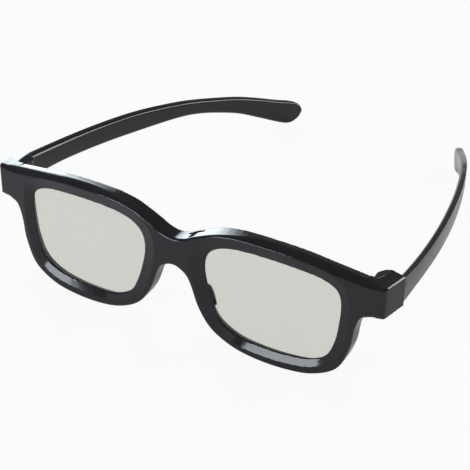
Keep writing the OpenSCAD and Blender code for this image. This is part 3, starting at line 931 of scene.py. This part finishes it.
def outer_side(mesh, amount):
    """Marks the faces that look outwards on the side arms and temples, for the finish."""
    x, y, _ = vectors(mesh.vertices, "co").T
    out = vectors(mesh.vertex_normals, "vector")[:, 0]
    # Ahead of the temples, only what lies outside the hinges counts
    inside = (y < 16) * (1 - ramp(np.abs(x), 69, 71))
    mark = amount * ramp(np.abs(out) * ramp(out * x, 0, 1) * (1 - inside), 0.85, 0.97)
    mesh.attributes.new("outer_side", "FLOAT", "POINT").data.foreach_set("value", mark)


pieces["front_frame"] = (front, "frame", "black_plastic")
pieces["rear_frame"] = (rear, "frame", "black_plastic")
for node, (piece, body, slot_name) in pieces.items():
    if node in DULL_SIDES:
        outer_side(piece.data, DULL_SIDES[node])
    piece.data.transform(TO_CAD)
    if slot_name == "black_plastic":
        wear(piece, satin if node == "rear_frame" else polished)
    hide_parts(node)
    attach(piece, body)
    low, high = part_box(node)
    points = vectors(piece.data.vertices, "co")
    off = np.abs(np.array([points.min(0) - low, points.max(0) - high])).max()
    print(node, "differs from its CAD box by", (1000 * off).round(2), "mm")

# %% [markdown]
# ## Floor and light
# The photo is a cut-out on white. Enough light to turn the paper pure white would turn the black
# plastic grey, so the paper glows for the camera and through the films, and it keeps a faint
# shadow. In glossy reflections only a small share of that white is left, because black gloss shows
# nothing but what it mirrors, and in the photo it stays black.
# The lamps are placed by what they draw on the gloss. Six overlapping lamps behind on the left
# light the tops and fade to the right. One behind on the right draws thin lines along the edges of
# arm and temple. A low one in front on the left makes the bright patches on the lower bevels and
# the thin lines at the edge of the upper ones. The room around them is dim.

# %% Floor
# Share of plain white that the paper shows directly, and in glossy reflections
SHOWN, IN_GLOSS = 0.92, 0.12
bpy.ops.mesh.primitive_circle_add(vertices=96, radius=30, fill_type="NGON")
floor = bpy.context.object
floor.name = "studio_floor"
paper, tree = finish("white paper")
seen = tree.add("ShaderNodeLightPath")
shown = (SHOWN * seen + IN_GLOSS * seen.also("Is Glossy Ray")
         + SHOWN * seen.also("Is Transmission Ray")).below(SHOWN)
matt = tree.add("ShaderNodeBsdfDiffuse", None, {"Color": (0.9, 0.9, 0.9, 1)})
white = tree.add("ShaderNodeEmission", None, {"Color": (1, 1, 1, 1), "Strength": 1.0})
mixed = tree.add("ShaderNodeMixShader", None, {0: shown, 1: matt, 2: white})
tree.add("ShaderNodeOutputMaterial", None, {"Surface": mixed})
floor.data.materials.append(paper)
print("floor:", floor.name, "of", paper.name)

# %% Dim room
world = bpy.data.worlds.new("dim studio")
world.use_nodes = True
tree = Tree(world.node_tree)
room = tree.add("ShaderNodeBackground", None, {"Color": (0.95, 0.97, 1, 1), "Strength": 0.2})
tree.add("ShaderNodeOutputWorld", None, {"Surface": room})
bpy.context.scene.world = world
print("room:", world.name)

# %% Softboxes
# The point that all lamps face
AIM = Vector((0, -0.03, 0.02))
# The lamps behind on the left share their left edge. Right edge and brightness of each:
LEFT_EDGE, COOL = -54, (0.85, 0.935, 1)
FADE = ((-40, 1.0), (-38, 1.9), (-36, 1.3), (-34, 0.9), (-32, 0.7), (-30, 0.4))


def softbox(name, bearing, height, distance, size, brightness, colour=(1, 1, 1)):
    """Rectangular lamp that faces the glasses: bearing from +Y towards +X and height in degrees."""
    lamp = bpy.data.lights.new(name, "AREA")
    lamp.shape, (lamp.size, lamp.size_y) = "RECTANGLE", size
    lamp.energy, lamp.color = brightness * math.pi * size[0] * size[1], colour
    b, h = math.radians(bearing), math.radians(height)
    away = Vector((math.sin(b) * math.cos(h), math.cos(b) * math.cos(h), math.sin(h)))
    made = bpy.data.objects.new(name, lamp)
    made.location = away * distance + AIM
    made.rotation_euler = away.to_track_quat("Z", "Y").to_euler()
    bpy.context.scene.collection.objects.link(made)
    print(name, "gives", round(lamp.energy, 2), "W")
    return made


for edge, brightness in FADE:
    half_angle = (edge - LEFT_EDGE) / 2
    size = (2 * math.tan(math.radians(half_angle)), 0.6)
    softbox(f"softbox_behind_left_{-edge}", edge - half_angle, 15, 1.0, size, brightness, COOL)
softbox("softbox_behind_right", 38, 15.5, 1.0, (0.28, 0.5), 7.0, (0.95, 0.97, 1))
softbox("softbox_front_left", -159, 12, 0.95, (0.475, 0.4), 9.0, (0.88, 0.92, 1))
# The lamp overhead lights the paper only: black gloss would mirror it as a grey veil
softbox("softbox_above", 0, 89, 1.3, (1.2, 1.2), 0.9).visible_glossy = False

# %% [markdown]
# ## Camera
# The camera was fitted to the photo: where it stands, which way it looks, its roll and its focal
# length. A constraint could aim it at the glasses, but it would not keep the roll, so the fitted
# pose is written as a place and three turns.

# %% Camera of the photo
AZIMUTH, ELEVATION, ROLL = (math.radians(v) for v in (27.687, 31.529, 2.644))
STAND = (0.197500, -0.416230, 0.278021)
camera = bpy.data.objects.new("camera", bpy.data.cameras.new("camera"))
bpy.context.scene.collection.objects.link(camera)
camera.data.sensor_width, camera.data.lens = 36, 109.479
camera.data.clip_start, camera.data.clip_end = 0.01, 100
camera.matrix_world = (
    Matrix.Translation(STAND) @ Matrix.Rotation(AZIMUTH, 4, "Z")
    @ Matrix.Rotation(math.pi / 2 - ELEVATION, 4, "X") @ Matrix.Rotation(ROLL, 4, "Z"))
bpy.context.scene.camera = camera
bpy.context.scene.view_settings.view_transform = "Standard"
print("camera looks along", (-camera.matrix_world.col[2].xyz).normalized())

# %% The end: the scene is brought up to date
bpy.context.view_layer.update()
